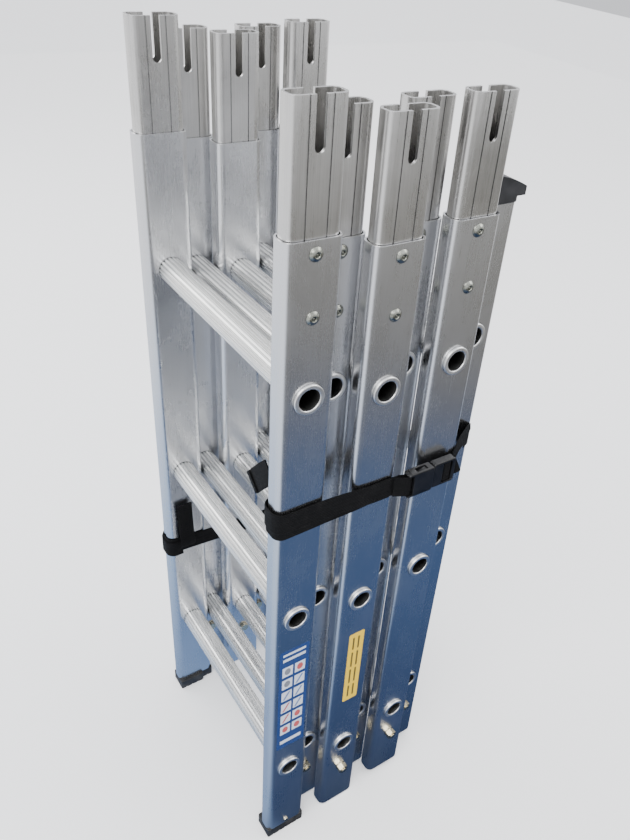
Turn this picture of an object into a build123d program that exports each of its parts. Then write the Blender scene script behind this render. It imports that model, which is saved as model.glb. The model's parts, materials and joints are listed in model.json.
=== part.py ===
from build123d import *
import os

# Six-section sectional ladder, packed upright as one strapped bundle.
# X runs along the rungs, Y from the bottom section at the front to the top section at the back, Z up.
# The origin is on the floor, under the middle of the bundle. Lengths are in millimetres.

# Ladder section
section_length = 900.0
section_width = 332.0
stile_depth = 58.0
stile_thickness = 26.0
stile_corner = 9.0
stile_wall = 2.0
rung_pitch = 300.0
first_rung_height = 147.0
rungs_per_section = 3

# Rung: a ribbed tube with its ends flared over the outer faces of the stiles
rung_diameter = 30.0
rung_bore = 23.0
rung_ribs = 20
rib_groove_radius = 1.1
rung_hole_clearance = 0.1
flare_diameter = 32.4
flare_height = 3.0
flare_round = 1.2

# Spigot: the hollow plug that the next section slides onto
spigot_gap = 0.3
spigot_wall = 2.8
spigot_corner = 8.6
spigot_height = 110.0
spigot_insertion = 95.0
slot_width = 9.6
slot_depth = 42.5
groove_offset = 10.5
groove_width = 1.6
groove_depth = 0.9

# Blind rivets through the outer face of each stile into its spigot
rivet_heights = (888.0, 830.0)
rivet_head_diameter = 13.4
rivet_head_height = 3.2
rivet_shank = 6.2
rivet_hole = 6.4
rivet_recess = 3.6
rivet_bulb = 9.0
rivet_bulb_length = 3.0

# Locating bolts near the foot of sections 2 to 6
bolt_height = 87.0
bolt_diameter = 8.0
bolt_hole = 8.4
bolt_flats = 13.0
bolt_head_height = 5.3
bolt_end = 1.6
nut_height = 8.0
nut_bore = 8.1
hex_chamfer = 1.0
washer_diameter = 14.0
washer_thickness = 1.2

# Rubber feet of the bottom section. The lip stops short of the back, to clear the next section
foot_height = 17.0
foot_lip = 5.0
foot_lip_depth = 40.0
foot_corner = 2.0
foot_plug_length = 32.0
foot_screw_height = 24.0
foot_screw_diameter = 3.9
foot_screw_head = 7.0

# End caps of the top section: a convex top that falls towards the back
cap_side_overhang = 1.4
cap_back_overhang = 8.0
cap_front_height = 25.0
cap_crown_height = 21.0
cap_back_height = 8.0
cap_round = 3.0
cap_skirt = 6.0
cap_skirt_gap = 0.15
cap_plug_length = 24.0
plug_gap = 0.2

# How the sections nest: each one is stepped sideways past its neighbour, and stands behind its rungs.
# The straps hold the last two a little off the floor, and the last one a little further back.
nest_gap = 1.3
nest_pitch = stile_depth / 2 + rung_diameter / 2 + nest_gap
section_x = (18.0, -11.5, 18.0, -15.0, 14.5, -13.2)
section_lift = (foot_height, 0.0, 0.0, 0.0, 9.0, 12.0)
last_section_gap = 2.0
stack_depth = (len(section_x) - 1) * nest_pitch + last_section_gap + stile_depth

# Webbing straps round each side's stiles, and their side release buckles
webbing_width = 27.0
webbing_thickness = 1.6
webbing_gap = 0.35
webbing_lift = webbing_gap + webbing_thickness / 2
right_strap_height = 616.0
left_strap_height = 329.0
front_y = -(stack_depth + cap_back_overhang - webbing_gap - webbing_thickness) / 2
buckle_middle_y = 47.0
buckle_rail = 3.0
buckle_slot = webbing_width + 0.6
buckle_width = buckle_slot + 2 * buckle_rail
buckle_thickness = 11.0
buckle_wall = 2.2
socket_length = 36.0
socket_slot_length = 4.0
socket_strap_end = -54.0
clip_strap_end = 35.5
bar_length = 3.6
bar_bottom = 3.0
bar_top = 7.0
clip_length = 32.0
clip_thickness = 9.0
clip_window_start = 14.0
lock_bar_start = 18.4
lock_bar_length = 5.0
lock_bar_bottom = 3.4
lock_bar_top = 6.4
end_bar_length = 4.4
end_bar_bottom = 4.6
prong_length = 24.0
prong_thickness = 3.4
prong_barb = 2.2

SIDES = (("left", -1), ("right", 1))
SECTIONS = range(len(section_x))


def save(name, shapes):
    """Write one node. Several solids make a group."""
    shape = shapes if not isinstance(shapes, list) else Compound(children=shapes)
    export_step(shape, f"parts/{name}.step")


def rounded_bar(width, depth, corner, length):
    return extrude(RectangleRounded(width, depth, corner), length)


def tube(width, depth, corner, wall, length):
    inner = rounded_bar(width - 2 * wall, depth - 2 * wall, corner - wall, length)
    return rounded_bar(width, depth, corner, length) - inner


def rod(radius, length, x, y, z, side=1):
    """A cylinder that starts at x and runs outwards, along +X on the right and -X on the left."""
    return Pos(x, y, z) * Rot(0, 90 * side, 0) * Cylinder(radius, length, align=(Align.CENTER, Align.CENTER, Align.MIN))


def hexagon(flats, length, x, y, z, side):
    """A bolt head or nut that starts at x, with the corners of its free end chamfered."""
    prism = extrude(RegularPolygon(flats / 2, 6, major_radius=False), length)
    blank = Cylinder(0.58 * flats, length, align=(Align.CENTER, Align.CENTER, Align.MIN))
    blank = chamfer(blank.edges().filter_by(GeomType.CIRCLE).group_by(Axis.Z)[-1], hex_chamfer)
    return Pos(x, y, z) * Rot(0, 90 * side, 0) * (prism & blank)


def section_y(k):
    """The middle of a section's stiles."""
    extra = last_section_gap if k == len(section_x) - 1 else 0.0
    return front_y + stile_depth / 2 + k * nest_pitch + extra


def stile_x(k, side):
    return section_x[k] + side * (section_width - stile_thickness) / 2


def outer_face(k, side):
    return section_x[k] + side * section_width / 2


def inner_face(k, side):
    return outer_face(k, side) - side * stile_thickness


def rung_z(k, n):
    return section_lift[k] + first_rung_height + n * rung_pitch


def make_stile(k, side):
    x = stile_x(k, side)
    y = section_y(k)
    z = section_lift[k]
    stile = Pos(x, y, z) * tube(stile_thickness, stile_depth, stile_corner, stile_wall, section_length)
    through = stile_thickness + 2
    start = x - side * through / 2
    for n in range(rungs_per_section):
        stile -= rod(rung_diameter / 2 + rung_hole_clearance, through, start, y, rung_z(k, n), side)
    if k < len(section_x) - 1:
        for height in rivet_heights:
            stile -= rod(rivet_hole / 2, through, x, y, z + height, side)
    if k > 0:
        stile -= rod(bolt_hole / 2, through, start, y, z + bolt_height, side)
    else:
        stile -= rod(foot_screw_diameter / 2 + 0.1, through, x, y, foot_screw_height, side)
    return stile


def rung_profile():
    profile = Circle(rung_diameter / 2)
    groove_circle = PolarLocations(rung_diameter / 2 + 0.1, rung_ribs)
    profile -= groove_circle * Circle(rib_groove_radius)
    return profile - Circle(rung_bore / 2)


def flare(side):
    ring = Cylinder(flare_diameter / 2, flare_height, align=(Align.CENTER, Align.CENTER, Align.MIN))
    ring -= Cylinder(rung_bore / 2, flare_height, align=(Align.CENTER, Align.CENTER, Align.MIN))
    ring = fillet(ring.edges().filter_by(GeomType.CIRCLE).group_by(Axis.Z)[-1], flare_round)
    return Pos(side * section_width / 2, 0, 0) * Rot(0, 90 * side, 0) * ring


def make_rung():
    """A rung about its own middle, along X."""
    bar = extrude(rung_profile(), section_width / 2, both=True)
    return Rot(0, 90, 0) * bar + flare(-1) + flare(1)


def make_spigot(k, side):
    width = stile_thickness - 2 * (stile_wall + spigot_gap)
    depth = stile_depth - 2 * (stile_wall + spigot_gap)
    length = spigot_insertion + spigot_height
    spigot = tube(width, depth, spigot_corner, spigot_wall, length)
    slot_end = length - slot_depth + slot_width / 2
    spigot -= Pos(0, 0, slot_end) * Box(width + 2, slot_width, slot_depth, align=(Align.CENTER, Align.CENTER, Align.MIN))
    spigot -= Pos(0, 0, slot_end) * Rot(0, 90, 0) * Cylinder(slot_width / 2, width + 2)
    for face in (-1, 1):
        for line in (-1, 1):
            spigot -= Pos(face * width / 2, line * groove_offset, length / 2) * Box(
                2 * groove_depth, groove_width, length + 2
            )
    spigot = Pos(stile_x(k, side), section_y(k), section_lift[k] + section_length - spigot_insertion) * spigot
    for height in rivet_heights:
        spigot -= rod(rivet_hole / 2, width, stile_x(k, side), section_y(k), section_lift[k] + height, side)
    return spigot


def make_rivet(k, side, height):
    """A domed blind rivet: head outside, shank through both walls, bulb inside the spigot."""
    cap_radius = rivet_head_diameter / 2
    sphere = (cap_radius**2 + rivet_head_height**2) / (2 * rivet_head_height)
    grip = stile_wall + spigot_gap + spigot_wall
    dome = Pos(0, 0, rivet_head_height - sphere) * Sphere(sphere)
    dome &= Cylinder(cap_radius, rivet_head_height, align=(Align.CENTER, Align.CENTER, Align.MIN))
    shank = Cylinder(rivet_shank / 2, grip + rivet_bulb_length, align=(Align.CENTER, Align.CENTER, Align.MAX))
    bulb = Pos(0, 0, -grip) * Cylinder(
        rivet_bulb / 2, rivet_bulb_length, align=(Align.CENTER, Align.CENTER, Align.MAX)
    )
    recess = Pos(0, 0, rivet_head_height) * Cylinder(rivet_recess / 2, 2.0)
    rivet = dome + shank + bulb - recess
    return Pos(outer_face(k, side), section_y(k), section_lift[k] + height) * Rot(0, 90 * side, 0) * rivet


def make_bolt_set(k, side):
    """A bolt with its head on the inner face, and a washer and nut on the outer face."""
    y = section_y(k)
    z = section_lift[k] + bolt_height
    inside = inner_face(k, side)
    outside = outer_face(k, side)
    head = hexagon(bolt_flats, bolt_head_height, inside, y, z, -side)
    shank_length = stile_thickness + washer_thickness + nut_height + bolt_end
    shank = rod(bolt_diameter / 2, shank_length, inside, y, z, side)
    washer = rod(washer_diameter / 2, washer_thickness, outside, y, z, side)
    washer -= rod(bolt_hole / 2, washer_thickness, outside, y, z, side)
    seat = outside + side * washer_thickness
    nut = hexagon(bolt_flats, nut_height, seat, y, z, side)
    nut -= rod(nut_bore / 2, nut_height, seat, y, z, side)
    return [head + shank, washer, nut]


def plug(length, clearance):
    """The part of a foot or cap that sits inside the end of a stile."""
    inset = stile_wall + clearance
    return rounded_bar(
        stile_thickness - 2 * inset, stile_depth - 2 * inset, stile_corner - inset, length
    )


def make_foot(side):
    sole = rounded_bar(stile_thickness, stile_depth, foot_corner, foot_height)
    lip_width = stile_thickness / 2 + foot_lip
    lip = rounded_bar(lip_width, foot_lip_depth, foot_corner, foot_height)
    sole += Pos(-side * lip_width / 2, (foot_lip_depth - stile_depth) / 2, 0) * lip
    for line in (-2, -1, 0, 1, 2):
        sole -= Pos(0, line * 10, 0) * Box(stile_thickness + 2 * foot_lip + 2, 2.4, 3.0)
    foot = sole + Pos(0, 0, foot_height) * plug(foot_plug_length, plug_gap)
    foot = Pos(stile_x(0, side), section_y(0), 0) * foot
    return foot - rod(foot_screw_diameter / 2, 30, stile_x(0, side), section_y(0), foot_screw_height, side)


def make_foot_screw(side):
    x = outer_face(0, side)
    shank = rod(foot_screw_diameter / 2 - 0.05, 9, x, section_y(0), foot_screw_height, -side)
    head = rod(foot_screw_head / 2, 1.8, x, section_y(0), foot_screw_height, side)
    return shank + head


def make_end_cap(side):
    """A plug with a convex top. The top falls from the front to a rounded end that stands out at the back."""
    top = len(section_x) - 1
    front = -stile_depth / 2 - cap_side_overhang
    back = stile_depth / 2 + cap_back_overhang
    outline = Polyline(
        (back, cap_back_height), (back, 0), (front, 0), (front, cap_front_height - 4), (front + 4, cap_front_height)
    )
    crown = ThreePointArc((front + 4, cap_front_height), (4, cap_crown_height), (back, cap_back_height))
    width = stile_thickness + 2 * cap_side_overhang
    block = extrude(Plane.YZ * make_face([outline, crown]), width / 2, both=True)
    block = fillet(block.edges().filter_by(Axis.Z).group_by(Axis.Y)[-1], cap_round)
    block = fillet(block.faces().sort_by(Axis.Z)[-1].edges(), 2.0)
    skirt = rounded_bar(width, stile_depth + 2 * cap_side_overhang, stile_corner + cap_side_overhang, cap_skirt)
    skirt -= rounded_bar(
        stile_thickness + 2 * cap_skirt_gap, stile_depth + 2 * cap_skirt_gap, stile_corner + cap_skirt_gap, cap_skirt
    )
    cap = block + Pos(0, 0, -cap_skirt) * skirt + Pos(0, 0, -cap_plug_length) * plug(cap_plug_length, plug_gap)
    return Pos(stile_x(top, side), section_y(top), section_lift[top] + section_length) * cap


def hull(points):
    """The convex hull of (x, y) points, anticlockwise."""
    points = sorted(set(points))

    def half(ordered):
        chain = []
        for p in ordered:
            while len(chain) > 1:
                (ax, ay), (bx, by) = chain[-2], chain[-1]
                if (bx - ax) * (p[1] - ay) - (by - ay) * (p[0] - ax) > 0:
                    break
                chain.pop()
            chain.append(p)
        return chain[:-1]

    return half(points) + half(points[::-1])


def stile_corners(side):
    """The corner centres of all the stiles on one side."""
    corners = []
    for k in SECTIONS:
        for sx in (-1, 1):
            for sy in (-1, 1):
                x = stile_x(k, side) + sx * (stile_thickness / 2 - stile_corner)
                y = section_y(k) + sy * (stile_depth / 2 - stile_corner)
                corners.append((round(x, 4), round(y, 4)))
    return corners


def ribbon(points):
    """Webbing seen edge on, along a chain of points."""
    sketch = Sketch()
    for (ax, ay), (bx, by) in zip(points, points[1:]):
        run = Vector(bx - ax, by - ay)
        middle = Pos((ax + bx) / 2, (ay + by) / 2) * Rot(0, 0, Vector(1, 0).get_signed_angle(run))
        sketch += middle * SlotCenterToCenter(run.length, webbing_thickness)
    return sketch


def buckle_base():
    """How far out the buckles lie: on top of the webbing of the outermost stile."""
    return section_width / 2 + max(section_x) + webbing_gap + webbing_thickness + 0.4


def run_x(side, y):
    """How far out the middle of the webbing is on the outer run, at y."""
    corners = hull(stile_corners(side))
    reach = 0.0
    for (ax, ay), (bx, by) in zip(corners, corners[1:] + corners[:1]):
        if min(ay, by) <= y <= max(ay, by) and ay != by:
            reach = max(reach, side * (ax + (bx - ax) * (y - ay) / (by - ay)))
    return reach + stile_corner + webbing_lift


def threaded(side, path):
    """Turn (distance behind the buckle's middle, height over its base) into plan points."""
    return [(side * (buckle_base() + w), buckle_middle_y + u) for u, w in path]


def socket_thread(side):
    """The front end of the webbing: under the socket's bar, up, over it, and back onto itself."""
    start = socket_strap_end
    level = run_x(side, buckle_middle_y + start) - buckle_base()
    under = bar_bottom - webbing_lift
    over = bar_top + webbing_lift
    turn = -socket_length + bar_length + socket_slot_length / 2
    layer = level + webbing_thickness + 0.1
    path = [(start - 2, level), (start, level), (-socket_length - 3, under), (turn, under), (turn, over)]
    path += [(-socket_length - 1, over), (start + 4, layer + 0.4), (start - 16, layer - 0.4)]
    return ribbon(threaded(side, path))


def clip_thread(side):
    """The back end: under the clip, up over the locking bar, down and out under the end bar as a tail."""
    start = clip_strap_end
    level = run_x(side, buckle_middle_y + start) - buckle_base()
    load = 0.9
    rise = (clip_window_start + lock_bar_start) / 2 + 0.2
    fall = lock_bar_start + lock_bar_length + 2.2
    over = lock_bar_top + webbing_lift
    tail = end_bar_bottom - webbing_lift - 0.4
    path = [(start + 0.6, level), (rise, load), (rise, over)]
    path += [(fall, over), (fall, tail), (clip_length + 3, tail), (clip_length + 27, tail + 1.2)]
    return ribbon(threaded(side, path))


def make_strap_loop(side, height):
    """Webbing drawn tight round all the stiles on one side, and threaded through its buckle."""
    core = make_face(Polyline(*hull(stile_corners(side)), close=True))
    inside = offset(core, stile_corner + webbing_gap, kind=Kind.ARC)
    outside = offset(core, stile_corner + webbing_gap + webbing_thickness, kind=Kind.ARC)
    gap_middle = buckle_middle_y + (socket_strap_end + clip_strap_end) / 2
    opening = Pos(side * buckle_base(), gap_middle) * Rectangle(30, clip_strap_end - socket_strap_end)
    loop = outside - inside - opening
    loop += socket_thread(side)
    loop += clip_thread(side)
    return Pos(0, 0, height) * extrude(loop, webbing_width / 2, both=True)


def make_right_tail(height):
    """The free end of the right strap: it rises behind the front stile, then folds over and hangs to the left."""
    corner = inner_face(0, 1)
    riser = Pos(corner - 8, front_y + 16.2, height) * Rot(0, 0, 33.5) * Box(
        webbing_thickness, 24, 46, align=(Align.CENTER, Align.CENTER, Align.MIN)
    )
    flap = Box(60, webbing_thickness, 24)
    return riser + Pos(corner - 33, front_y + 14.5, height + 20) * Rot(0, -46.6, 0) * flap


def make_left_tail(height):
    """The free end of the left strap, folded up against the inner face of the front stile."""
    x = inner_face(0, -1) + webbing_gap + webbing_thickness
    tail = Box(webbing_thickness, 24, 92, align=(Align.MIN, Align.CENTER, Align.MIN))
    return Pos(x - 0.2, front_y + 25, height - 10) * tail


def buckle_place(side, height):
    """Buckle axes: X along the strap towards the back, Y across the webbing, Z off the stiles."""
    plane = Plane(
        origin=(side * buckle_base(), buckle_middle_y, height),
        x_dir=(0, 1, 0),
        z_dir=(side, 0, 0),
    )
    return Location(plane)


def block(start, end, width, bottom, top):
    """A box in buckle axes, centred across the webbing."""
    return Pos((start + end) / 2, 0, (bottom + top) / 2) * Box(end - start, width, top - bottom)


def make_socket():
    """The socket half: a hollow shell open towards the back, with a window on each edge and a webbing bar."""
    shell = extrude(RectangleRounded(socket_length, buckle_width, 4.0), buckle_thickness)
    shell = fillet(shell.edges().group_by(Axis.Z)[-1], 2.0)
    shell = Pos(-socket_length / 2, 0, 0) * shell
    pocket_width = buckle_width - 2 * buckle_wall
    ceiling = buckle_thickness - buckle_wall
    shell -= block(-27, 1, pocket_width, buckle_wall, ceiling)
    shell -= block(-24, -9, buckle_width + 2, buckle_wall, ceiling)
    slot_end = -socket_length + bar_length + socket_slot_length
    shell -= block(-socket_length - 1, slot_end, buckle_slot, -1, buckle_thickness + 1)
    return shell + block(-socket_length, -socket_length + bar_length, buckle_slot + 2, bar_bottom, bar_top)


def make_clip():
    """The plug half: a frame with a locking bar and an end bar, and a guide tongue between the prongs."""
    frame = extrude(RectangleRounded(clip_length, buckle_width, 3.5), clip_thickness)
    frame = fillet(frame.edges().group_by(Axis.Z)[-1], 1.6)
    frame = Pos(clip_length / 2 + 0.4, 0, 0) * frame
    end = clip_length + 0.4
    frame -= block(clip_window_start, end + 1, buckle_slot, -1, clip_thickness + 1)
    lock_end = lock_bar_start + lock_bar_length
    frame += block(lock_bar_start, lock_end, buckle_slot + 2, lock_bar_bottom, lock_bar_top)
    frame += block(end - end_bar_length, end, buckle_slot + 2, end_bar_bottom, clip_thickness - 0.6)
    return frame + block(-21, 1, 8, buckle_wall + 0.4, buckle_thickness - buckle_wall - 0.4)


def make_prong(edge):
    """A spring arm that snaps into the window on one edge. It flexes about its root."""
    root_y = edge * (buckle_width / 2 - buckle_wall - prong_thickness - 1.2)
    depth = buckle_thickness - 2 * buckle_wall - 0.8
    points = [
        (0, 0),
        (-prong_length, 0),
        (-prong_length, edge * 1.2),
        (-prong_length + 12, edge * (prong_thickness + prong_barb)),
        (-prong_length + 14, edge * (prong_thickness + prong_barb)),
        (-prong_length + 14, edge * prong_thickness),
        (0, edge * prong_thickness),
    ]
    arm = extrude(make_face(Polyline(*points, close=True)), depth)
    return Pos(0.2, root_y, buckle_wall + 0.4) * arm


def buckle_nodes(label, side, height):
    place = buckle_place(side, height)
    save(f"{label}_buckle_socket", place * make_socket())
    save(f"{label}_buckle_clip", place * make_clip())
    for name, edge in (("upper", 1), ("lower", -1)):
        turn = edge * side
        save(f"{label}_buckle_{name}_prong", place * make_prong(turn))


def main():
    os.makedirs("parts", exist_ok=True)
    rung = make_rung()
    for k in SECTIONS:
        label = f"section_{k + 1}"
        for side_name, side in SIDES:
            save(f"{label}_{side_name}_stile", make_stile(k, side))
        for n in range(rungs_per_section):
            save(f"{label}_rung_{n + 1}", Pos(section_x[k], section_y(k), rung_z(k, n)) * rung)
        if k < len(section_x) - 1:
            save(f"{label}_spigots", [make_spigot(k, side) for _, side in SIDES])
            rivets = [make_rivet(k, side, height) for _, side in SIDES for height in rivet_heights]
            save(f"{label}_rivets", rivets)
        if k > 0:
            save(f"{label}_bolts", make_bolt_set(k, -1) + make_bolt_set(k, 1))
    for side_name, side in SIDES:
        save(f"{side_name}_foot", make_foot(side))
        save(f"{side_name}_end_cap", make_end_cap(side))
    save("foot_screws", [make_foot_screw(side) for _, side in SIDES])
    save("right_strap", make_strap_loop(1, right_strap_height) + make_right_tail(right_strap_height))
    save("left_strap", make_strap_loop(-1, left_strap_height) + make_left_tail(left_strap_height))
    buckle_nodes("right", 1, right_strap_height)
    buckle_nodes("left", -1, left_strap_height)


main()
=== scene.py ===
import json
import math

import bmesh
import bpy
from mathutils import Matrix, Vector


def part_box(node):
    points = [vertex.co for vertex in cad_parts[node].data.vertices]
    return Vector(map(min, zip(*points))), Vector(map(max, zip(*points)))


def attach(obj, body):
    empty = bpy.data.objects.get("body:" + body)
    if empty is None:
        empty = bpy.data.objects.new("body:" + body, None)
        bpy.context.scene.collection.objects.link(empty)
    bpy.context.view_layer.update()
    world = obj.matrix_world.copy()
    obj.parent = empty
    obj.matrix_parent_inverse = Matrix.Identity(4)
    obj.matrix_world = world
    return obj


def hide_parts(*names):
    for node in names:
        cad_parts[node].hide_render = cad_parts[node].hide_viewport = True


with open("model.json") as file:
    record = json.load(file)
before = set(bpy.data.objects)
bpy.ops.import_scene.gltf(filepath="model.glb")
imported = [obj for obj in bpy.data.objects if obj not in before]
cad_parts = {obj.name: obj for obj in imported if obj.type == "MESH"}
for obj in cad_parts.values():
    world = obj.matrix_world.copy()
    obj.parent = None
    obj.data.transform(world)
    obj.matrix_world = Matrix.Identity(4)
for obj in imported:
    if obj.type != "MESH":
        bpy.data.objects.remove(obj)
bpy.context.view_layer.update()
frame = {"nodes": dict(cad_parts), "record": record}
NODES = frame["nodes"]
BODY_OF = {n: b for b, ns in frame["record"]["behaviour"]["bodies"].items() for n in ns}
SLOT_OF = {p["node"]: p["material_slot"] for p in frame["record"]["subparts"]}
SECTIONS = range(1, 7)
SPIGOT_SECTIONS = range(1, 6)
SIDES = (("left", -1), ("right", 1))

# ---------------------------------------------------------------- measures in metres, mostly from the frame

STILES = {(k, s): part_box(f"section_{k}_{name}_stile") for k in SECTIONS for name, s in SIDES}
RUNGS = {(k, n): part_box(f"section_{k}_rung_{n}") for k in SECTIONS for n in (1, 2, 3)}
FRONT = STILES[1, 1][0].y
BACK = STILES[6, 1][1].y
TOP_RUNG = (RUNGS[1, 3][0].z + RUNGS[1, 3][1].z) / 2
INNER_RIGHT = STILES[1, 1][0].x
INNER_LEFT = -STILES[1, -1][1].x
STILE_CORNER = 0.009
WEBBING = 0.0016
CLEARANCE = 0.00035
UP = Vector((0, 0, 1))

# ---------------------------------------------------------------- material helpers

NOISE_LOW, NOISE_HIGH = 0.3, 0.7
EDGE_SAMPLES = 6
EDGE_DOT = 0.75


class Graph:
    """A material's node tree, with short calls for the nodes that are used here."""

    def __init__(self, name):
        self.material = bpy.data.materials.new(name)
        self.material.use_nodes = True
        self.tree = self.material.node_tree
        self.bsdf = self.tree.nodes["Principled BSDF"]

    def node(self, kind, **values):
        n = self.tree.nodes.new(kind)
        for key, value in values.items():
            setattr(n, key, value)
        return n

    def link(self, a, b):
        self.tree.links.new(a, b)

    def put(self, socket, value):
        if isinstance(value, bpy.types.NodeSocket):
            self.link(value, socket)
        else:
            socket.default_value = value

    def coords(self, scale=(1, 1, 1)):
        """Object coordinates. A small scale on one axis draws a pattern out along it."""
        tex = self.node("ShaderNodeTexCoord")
        mapping = self.node("ShaderNodeMapping")
        mapping.inputs["Scale"].default_value = scale
        self.link(tex.outputs["Object"], mapping.inputs["Vector"])
        return mapping.outputs["Vector"]

    def stored(self, name):
        """The first two numbers of a vector that the mesh keeps at each of its points."""
        attribute = self.node("ShaderNodeAttribute", attribute_name=name)
        split = self.node("ShaderNodeSeparateXYZ")
        self.link(attribute.outputs["Vector"], split.inputs[0])
        return split.outputs[0], split.outputs[1]

    def noise(self, vector, scale, detail=4.0, roughness=0.6, distortion=0.0):
        n = self.node("ShaderNodeTexNoise")
        self.link(vector, n.inputs["Vector"])
        n.inputs["Scale"].default_value = scale
        n.inputs["Detail"].default_value = detail
        n.inputs["Roughness"].default_value = roughness
        n.inputs["Distortion"].default_value = distortion
        return n.outputs["Fac"]

    def voronoi(self, vector, scale):
        n = self.node("ShaderNodeTexVoronoi")
        self.link(vector, n.inputs["Vector"])
        n.inputs["Scale"].default_value = scale
        return n.outputs["Distance"]

    def math(self, op, a, b=0.0, clamp=False):
        n = self.node("ShaderNodeMath", operation=op, use_clamp=clamp)
        for socket, value in zip(n.inputs, (a, b)):
            self.put(socket, value)
        return n.outputs[0]

    def total(self, *terms):
        """The sum of (value, weight) pairs."""
        products = (self.math("MULTIPLY", value, weight) for value, weight in terms)
        result = next(products)
        for product in products:
            result = self.math("ADD", result, product)
        return result

    def inside(self, value, a, b):
        """1 between a and b, 0 outside."""
        return self.math("MULTIPLY", self.math("GREATER_THAN", value, a), self.math("LESS_THAN", value, b))

    def window(self, x, y, across, along):
        """1 where x and y both lie between their two limits."""
        return self.math("MULTIPLY", self.inside(x, *across), self.inside(y, *along))

    def ramp(self, value, stops):
        n = self.node("ShaderNodeValToRGB")
        self.put(n.inputs["Fac"], value)
        elements = n.color_ramp.elements
        while len(elements) < len(stops):
            elements.new(0.5)
        for element, (at, colour) in zip(elements, stops):
            element.position = at
            element.color = (*colour, 1)
        return n.outputs["Color"]

    def grey(self, value, stops):
        return self.ramp(value, [(at, (v, v, v)) for at, v in stops])

    def mix(self, fac, a, b):
        n = self.node("ShaderNodeMix", data_type="RGBA")
        self.put(n.inputs["Factor"], fac)
        for socket, value in ((n.inputs[6], a), (n.inputs[7], b)):
            self.put(socket, (*value, 1) if isinstance(value, tuple) else value)
        return n.outputs[2]

    def lay(self, colour, mask, amount, over):
        """One colour laid over another where a mask is 1, by an amount of 1 at most."""
        return self.mix(self.math("MULTIPLY", mask, amount), colour, over)

    def map(self, value, a, b, c=0.0, d=1.0):
        """The range a to b turned into c to d."""
        n = self.node("ShaderNodeMapRange")
        for socket, v in zip(n.inputs, (value, a, b, c, d)):
            self.put(socket, v)
        return n.outputs[0]

    def vary(self, noise, c, d):
        """The usual range of a noise turned into c to d."""
        return self.map(noise, NOISE_LOW, NOISE_HIGH, c, d)

    def bump(self, height, strength, distance, normal=None):
        n = self.node("ShaderNodeBump")
        n.inputs["Strength"].default_value = strength
        n.inputs["Distance"].default_value = distance
        self.link(height, n.inputs["Height"])
        if normal is not None:
            self.link(normal, n.inputs["Normal"])
        return n.outputs["Normal"]

    def edges(self, radius):
        """1 on sharp edges and 0 on flats, and the normal that rounds the edges off."""
        bevel = self.node("ShaderNodeBevel", samples=EDGE_SAMPLES)
        bevel.inputs["Radius"].default_value = radius
        geometry = self.node("ShaderNodeNewGeometry")
        dot = self.node("ShaderNodeVectorMath", operation="DOT_PRODUCT")
        self.link(bevel.outputs["Normal"], dot.inputs[0])
        self.link(geometry.outputs["Normal"], dot.inputs[1])
        return self.map(dot.outputs["Value"], 1.0, EDGE_DOT), bevel.outputs["Normal"]

    def hollows(self, distance, low, high, samples=6, own=False):
        """1 in grooves and along contact lines, 0 in the open. With own, other objects don't count."""
        node = self.node("ShaderNodeAmbientOcclusion", samples=samples, only_local=own)
        node.inputs["Distance"].default_value = distance
        return self.map(node.outputs["AO"], low, high, 1.0, 0.0)

    def set(self, **values):
        for key, value in values.items():
            self.put(self.bsdf.inputs[key.replace("_", " ")], value)
        return self.material


# ---------------------------------------------------------------- materials

STILE_LIGHT, STILE_DARK = (0.80, 0.805, 0.82), (0.68, 0.685, 0.70)
SPIGOT_LIGHT, SPIGOT_DARK = (0.80, 0.79, 0.775), (0.44, 0.435, 0.42)
METAL_EDGE = (0.93, 0.93, 0.94)
METAL_HOLLOW_SHADE = (0.035, 0.035, 0.037)
RUNG_LIGHT, RUNG_DARK = (0.97, 0.97, 0.955), (0.90, 0.90, 0.885)
RUNG_SCUFF = (0.55, 0.55, 0.54)
RUNG_EDGE = (0.97, 0.97, 0.96)
RUNG_GROOVE_SHADE = (0.060, 0.058, 0.052)
RUNG_BORE_SHADE = (0.022, 0.022, 0.021)
RUNG_CONTACT_SHADE = (0.06, 0.058, 0.054)
RUNG_NOTCH_SHADE = (0.012, 0.012, 0.011)
RIVET_LIGHT, RIVET_DARK = (0.44, 0.45, 0.40), (0.23, 0.235, 0.20)
BOLT_LIGHT, BOLT_DARK = (0.88, 0.80, 0.58), (0.50, 0.43, 0.27)
PLATED_EDGE = (0.95, 0.93, 0.86)
PLATED_HOLLOW_SHADE = (0.04, 0.038, 0.03)
RUBBER_BLACK, RUBBER_WORN = (0.012, 0.012, 0.013), (0.05, 0.048, 0.045)
CAP_BLACK, CAP_WORN = (0.010, 0.011, 0.013), (0.035, 0.035, 0.038)
BUCKLE_BLACK, BUCKLE_WORN = (0.003, 0.003, 0.0035), (0.010, 0.010, 0.011)
YARN_LOW_SHADE, YARN_RAISED_HIGHLIGHT = (0.0012, 0.0012, 0.0014), (0.0085, 0.0085, 0.0092)
YARN_DUST = (0.018, 0.017, 0.016)
YARN_FUZZ = (0.055, 0.055, 0.055)
FINE_LINES, BROAD_LINES = (1, 1, 0.012), (1, 1, 0.03)
CLOUDS, SPECKS, SCRATCHES = (1, 1, 0.7), (1, 1, 0.6), (0.12, 1, 1.4)
RUNG_LINES, RUNG_SCUFFS = (0.02, 1, 1), (0.6, 1.0, 1.0)
WARP_PITCH, WEFT_PITCH = 0.0017, 0.0024
TWILL_ALONG, TWILL_ACROSS = 0.0032, 0.0034


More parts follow.
